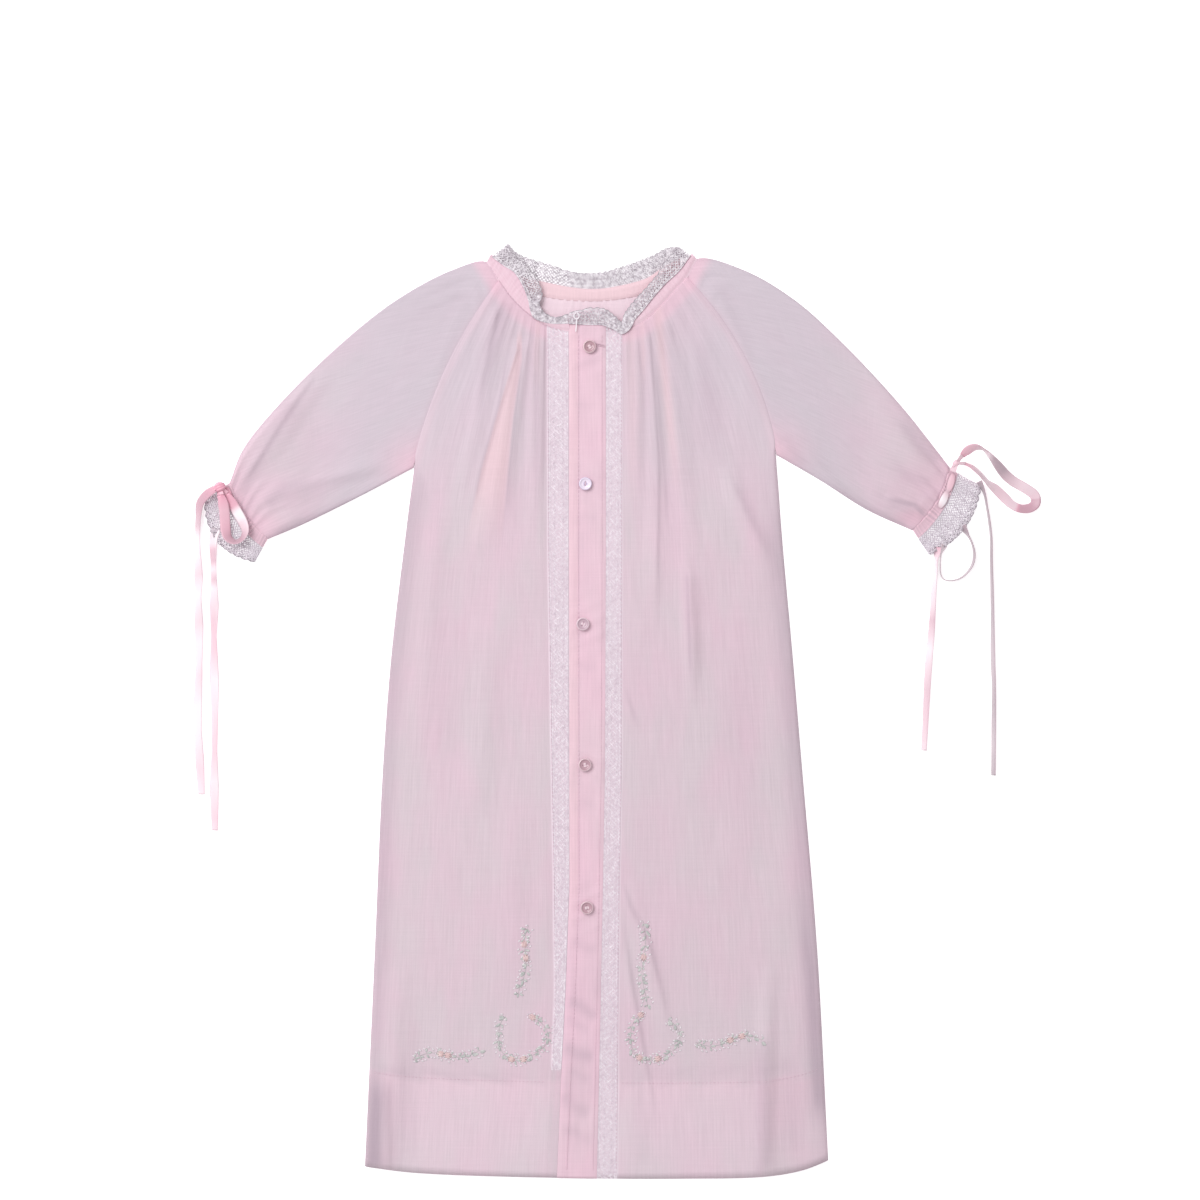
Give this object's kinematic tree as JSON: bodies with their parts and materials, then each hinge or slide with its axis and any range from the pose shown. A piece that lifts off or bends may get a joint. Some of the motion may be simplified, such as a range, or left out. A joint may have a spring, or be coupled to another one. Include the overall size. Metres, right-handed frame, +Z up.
{
  "type": "baby daygown",
  "caption": "Newborn's batiste daygown laid flat, with raglan sleeves, a buttoned front placket, lace insertion bands, lace edging at the neck and cuffs, and ribbon ties.",
  "frame": {"origin": "on the surface the gown lies on, under the middle of the gown's own box without its free ribbons", "axes": "+X to the right as seen from above, +Y from the hem to the neck, +Z up from the surface"},
  "size_m": [0.4871, 0.5374, 0.011],
  "materials": {
    "batiste": "pale pink sheer cotton, matte",
    "double_batiste": "pale pink cotton in two layers, matte",
    "lace": "white cotton net lace, matte",
    "satin_ribbon": "pale pink satin, glossy",
    "pearl": "pearly pink, glossy",
    "sewing_thread": "cotton thread",
    "leaf_thread": "grey-green embroidery thread",
    "bud_thread": "peach embroidery thread"
  },
  "bodies": {
    "root": {"back": "batiste", "front_left": "batiste", "front_right": "batiste", "sleeve_left": "batiste", "sleeve_right": "batiste", "placket": "double_batiste", "neck_binding_left": "double_batiste", "neck_binding_right": "double_batiste", "neck_binding_back": "double_batiste", "lace_band_left": "lace", "lace_band_right": "lace", "neck_lace_back": "lace", "neck_lace_left": "lace", "neck_lace_right": "lace", "cuff_band_left": "lace", "cuff_band_right": "lace", "cuff_lace_left": "lace", "cuff_lace_right": "lace", "cuff_ribbon_left": "satin_ribbon", "cuff_ribbon_right": "satin_ribbon", "bow_loop_left": "satin_ribbon", "bow_loop_right": "satin_ribbon", "bow_knot_left": "satin_ribbon", "bow_knot_right": "satin_ribbon", "tail_left_outer": "satin_ribbon", "tail_left_inner": "satin_ribbon", "tail_right_outer": "satin_ribbon", "tail_right_inner": "satin_ribbon", "ribbon_loop_right": "satin_ribbon", "button_1": "pearl", "button_2": "pearl", "button_3": "pearl", "button_4": "pearl", "button_5": "pearl"}
  },
  "joints": []
}
